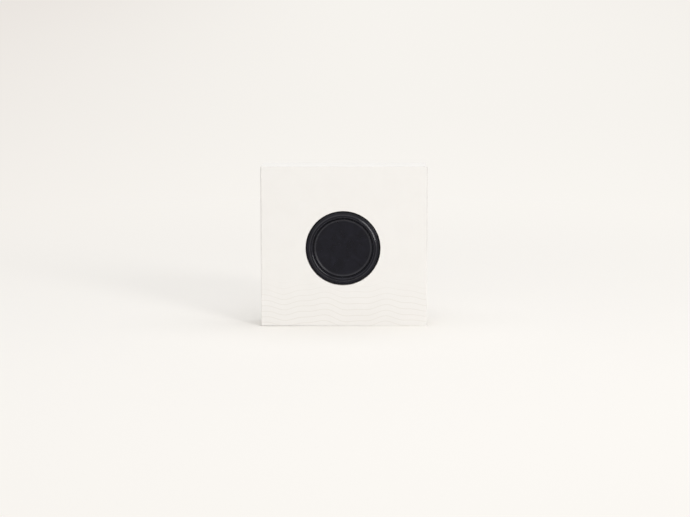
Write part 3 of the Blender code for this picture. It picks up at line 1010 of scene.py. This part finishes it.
magnet_outline = [
    (0, 0.0039),
    (0.0097, 0.0039),
    (0.0100, 0.0042),
    (0.0100, 0.0066),
    (0.0097, 0.0069),
    (0, 0.0069),
]
magnet = turned_piece("magnet_disc", magnet_outline, plated_finish("nickel_plate"), MAGNET_EDGE)
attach(magnet, "holder")
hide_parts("magnet")


# Rear cover
# A moulded black disc, pressed into the back of the body. The hollow boss in its middle keeps the
# magnet in the pocket, and a fine groove runs round the seat of the wall pad.

COVER_EDGE = 0.00005
COVER_ROUGHNESS = 0.36

cover_outline = [
    (0, 0.0139),
    (0.01888, 0.0139),
    (0.01894, 0.0138),
    (0.01906, 0.0138),
    (0.01912, 0.0139),
    (0.0197, 0.0139),
    (0.0200, 0.0136),
    (0.0200, 0.0120),
    (0.0090, 0.0120),
    (0.0090, 0.0072),
    (0.0075, 0.0072),
    (0.0075, 0.0120),
    (0, 0.0120),
]
cover_plastic = plastic_finish("cover_plastic", COVER_ROUGHNESS)
cover = turned_piece("cover_moulding", cover_outline, cover_plastic, COVER_EDGE)
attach(cover, "holder")
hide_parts("rear_cover")


# Wall pad
# White foam with adhesive on both faces, die-cut from sheet. Its edge shows the closed cells and
# bulges a little between the two adhesive films.

PAD_EDGE = 0.00003
FOAM_WHITE = rgb(0.80, 0.80, 0.78)
FOAM_CELL = rgb(0.66, 0.66, 0.64)
FOAM_ROUGHNESS = 0.96
CELLS_TO_THE_METRE = 3400.0
CELL_WALL = (0.15, 0.55)
FOAM_CLOUD = (500.0, 3.0)
CELL_SHADING = 0.5
FOAM_CLOUD_SHADING = 0.3
CELL_GLOSS = 0.10
FOAM_BUMP = (0.5, 0.00008)


def foam_finish(name):
    """Closed-cell foam: small round cells of mixed sizes."""
    material, shader, place = new_material(name)
    cells = place.add("TexVoronoi", {}, {"Vector": place, "Scale": CELLS_TO_THE_METRE})
    cloud = place.noise(*FOAM_CLOUD)
    wall = cells.step(*CELL_WALL)
    tone = wall * CELL_SHADING + cloud * FOAM_CLOUD_SHADING
    tone.blend(FOAM_CELL, FOAM_WHITE).feed(shader.inputs["Base Color"])
    (FOAM_ROUGHNESS - wall * CELL_GLOSS).feed(shader.inputs["Roughness"])
    wall.emboss(shader, *FOAM_BUMP)
    return material


pad_outline = [
    (0, 0.0142),
    (0.01838, 0.0142),
    (0.01840, 0.0143),
    (0.01848, 0.0145),
    (0.01850, 0.01475),
    (0.01848, 0.0150),
    (0.01840, 0.0152),
    (0.01838, 0.0153),
    (0, 0.0153),
]
pad = turned_piece("foam_pad", pad_outline, foam_finish("foam_cells"), PAD_EDGE)
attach(pad, "holder")
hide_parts("adhesive_pad")


# Release liner
# Waxed paper that covers the pad's adhesive until the holder goes on a wall, cut with a round
# tab that lifts a little off the pad.

LINER_BACK = 0.0049
LINER_RADIUS = 0.0187
LINER_THICKNESS = 0.0002
LINER_STEPS = 180
TAB_HALF_WIDTH = 0.0045
TAB_REACH = 0.0170
TAB_BEND = 0.0192
TAB_LIFT = 0.0004

LINER_PAPER = rgb(0.78, 0.70, 0.52)
LINER_SHADE = rgb(0.70, 0.61, 0.43)
LINER_ROUGHNESS = 0.36
LINER_STREAK = (1.0, 1.0, 0.08)
LINER_LINES = (900.0, 3.0)
LINER_CLOUD = (260.0, 5.0)
LINER_CLOUD_SHADING = (0.3, 0.75, 0.6)
LINER_LINE_SHADING = (0.45, 0.65, 0.3)
LINER_GLOSS = 0.12
LINER_CLOUD_RELIEF = 0.6
LINER_LINE_RELIEF = 0.4
LINER_BUMP = (0.25, 0.00004)


def waxed_paper(name):
    """Yellowish glazed paper with faint calender streaks."""
    material, shader, place = new_material(name)
    lines = place.stretched(LINER_STREAK).noise(*LINER_LINES)
    cloud = place.noise(*LINER_CLOUD)
    tone = cloud.step(*LINER_CLOUD_SHADING) + lines.step(*LINER_LINE_SHADING)
    tone.blend(LINER_PAPER, LINER_SHADE).feed(shader.inputs["Base Color"])
    (LINER_ROUGHNESS + cloud * LINER_GLOSS).feed(shader.inputs["Roughness"])
    relief = cloud * LINER_CLOUD_RELIEF + lines * LINER_LINE_RELIEF
    relief.emboss(shader, *LINER_BUMP)
    return material


liner_mesh = bmesh.new()
liner_place = Matrix.Translation((SEAT.x, LINER_BACK, SEAT.z)) @ Matrix.Rotation(math.pi / 2, 4, "X")
bmesh.ops.create_circle(
    liner_mesh, cap_ends=True, segments=LINER_STEPS, radius=LINER_RADIUS, matrix=liner_place
)
rising = [
    edge
    for edge in liner_mesh.edges
    if all(abs(vert.co.z - SEAT.z) < TAB_HALF_WIDTH and vert.co.x > SEAT.x for vert in edge.verts)
]
for bend, lift in ((True, 0), (False, TAB_LIFT)):
    rising, moved = pull_out(liner_mesh, rising)
    for vert in moved:
        height = vert.co.z - SEAT.z
        end = TAB_REACH + math.sqrt(TAB_HALF_WIDTH ** 2 - height ** 2)
        vert.co.x = SEAT.x + (min(TAB_BEND, end) if bend else end)
        vert.co.y += lift
paper = waxed_paper("liner_paper")
liner = sheet_piece("liner_paper", liner_mesh, (0, 1, 0), (paper, paper, paper), LINER_THICKNESS)
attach(liner, "holder")
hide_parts("release_liner")


# Soap plate
# A crown pressed from stainless sheet: a flat disc with a stiffening ring and a skirt of fluted
# teeth that is pushed into the soap. The magnet parks it behind the liner until then.

PLATE_FRONT = 0.0052
PLATE_HEIGHT = 0.005
PLATE_STEEL = 0.0004
PLATE_TEETH = 21
STEPS_PER_TOOTH = 16
PLATE_BEND = 0.0009
FLUTE_DEPTH = 0.0003
TOOTH_NOTCH = 0.0014

STEEL = rgb(0.55, 0.55, 0.56)
STEEL_SHADE = rgb(0.40, 0.40, 0.41)
STEEL_ROUGHNESS = 0.24
TURNINGS_TO_THE_METRE = 5200
TURNING_DETAIL = 3.0
STEEL_CLOUD = (170.0, 5.0, 0.8)
TURNING_SHADING = (0.35, 0.7, 0.5)
STEEL_CLOUD_SHADING = (0.4, 0.75, 0.5)
TURNING_GLOSS = 0.12
STEEL_CLOUD_GLOSS = 0.08
STEEL_BUMP = (0.12, 0.00002)


def steel_finish(name):
    """Stainless sheet: fine turning lines round the middle, and cloudy handling marks."""
    material, shader, place = new_material(name)
    turning = {"W": from_axis(place) * TURNINGS_TO_THE_METRE, "Detail": TURNING_DETAIL}
    lines = place.add("TexNoise", {"noise_dimensions": "1D"}, turning)
    cloud = place.noise(*STEEL_CLOUD)
    tone = lines.step(*TURNING_SHADING) + cloud.step(*STEEL_CLOUD_SHADING)
    tone.blend(STEEL, STEEL_SHADE).feed(shader.inputs["Base Color"])
    rough = STEEL_ROUGHNESS + lines * TURNING_GLOSS + cloud * STEEL_CLOUD_GLOSS
    rough.feed(shader.inputs["Roughness"])
    shader.inputs["Metallic"].default_value = 1.0
    lines.emboss(shader, *STEEL_BUMP)
    return material


plate_outline = [
    (0, 0),
    (0.0040, 0),
    (0.0078, 0),
    (0.0083, 0.00006),
    (0.0087, 0.00015),
    (0.0094, 0.00015),
    (0.0098, 0.00006),
    (0.0103, 0),
    (0.01245, 0),
    (0.01275, 0.00005),
    (0.01305, 0.00019),
    (0.01330, 0.00045),
    (0.01355, PLATE_BEND),
    (0.01379, 0.0015),
    (0.01411, 0.0023),
    (0.01443, 0.0031),
    (0.01475, 0.0040),
    (0.01495, 0.0045),
    (0.01515, PLATE_HEIGHT),
]
plate_mesh = spun_mesh(plate_outline, PLATE_TEETH * STEPS_PER_TOOTH)
for vert in plate_mesh.verts:
    share = max(0.0, (vert.co.y - PLATE_BEND) / (PLATE_HEIGHT - PLATE_BEND))
    crest = math.cos(PLATE_TEETH * math.atan2(vert.co.z, vert.co.x))
    outward = Vector((vert.co.x, 0, vert.co.z)).normalized()
    vert.co += outward * (FLUTE_DEPTH * share * crest)
    vert.co.y += TOOTH_NOTCH * share * (crest - 1) / 2
bmesh.ops.translate(plate_mesh, verts=plate_mesh.verts, vec=(SEAT.x, PLATE_FRONT, SEAT.z))
steel = steel_finish("plate_steel")
plate = sheet_piece("crown_plate", plate_mesh, (0, -1, 0), (steel, steel, steel), PLATE_STEEL)
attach(plate, "soap_plate")
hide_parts("soap_plate")
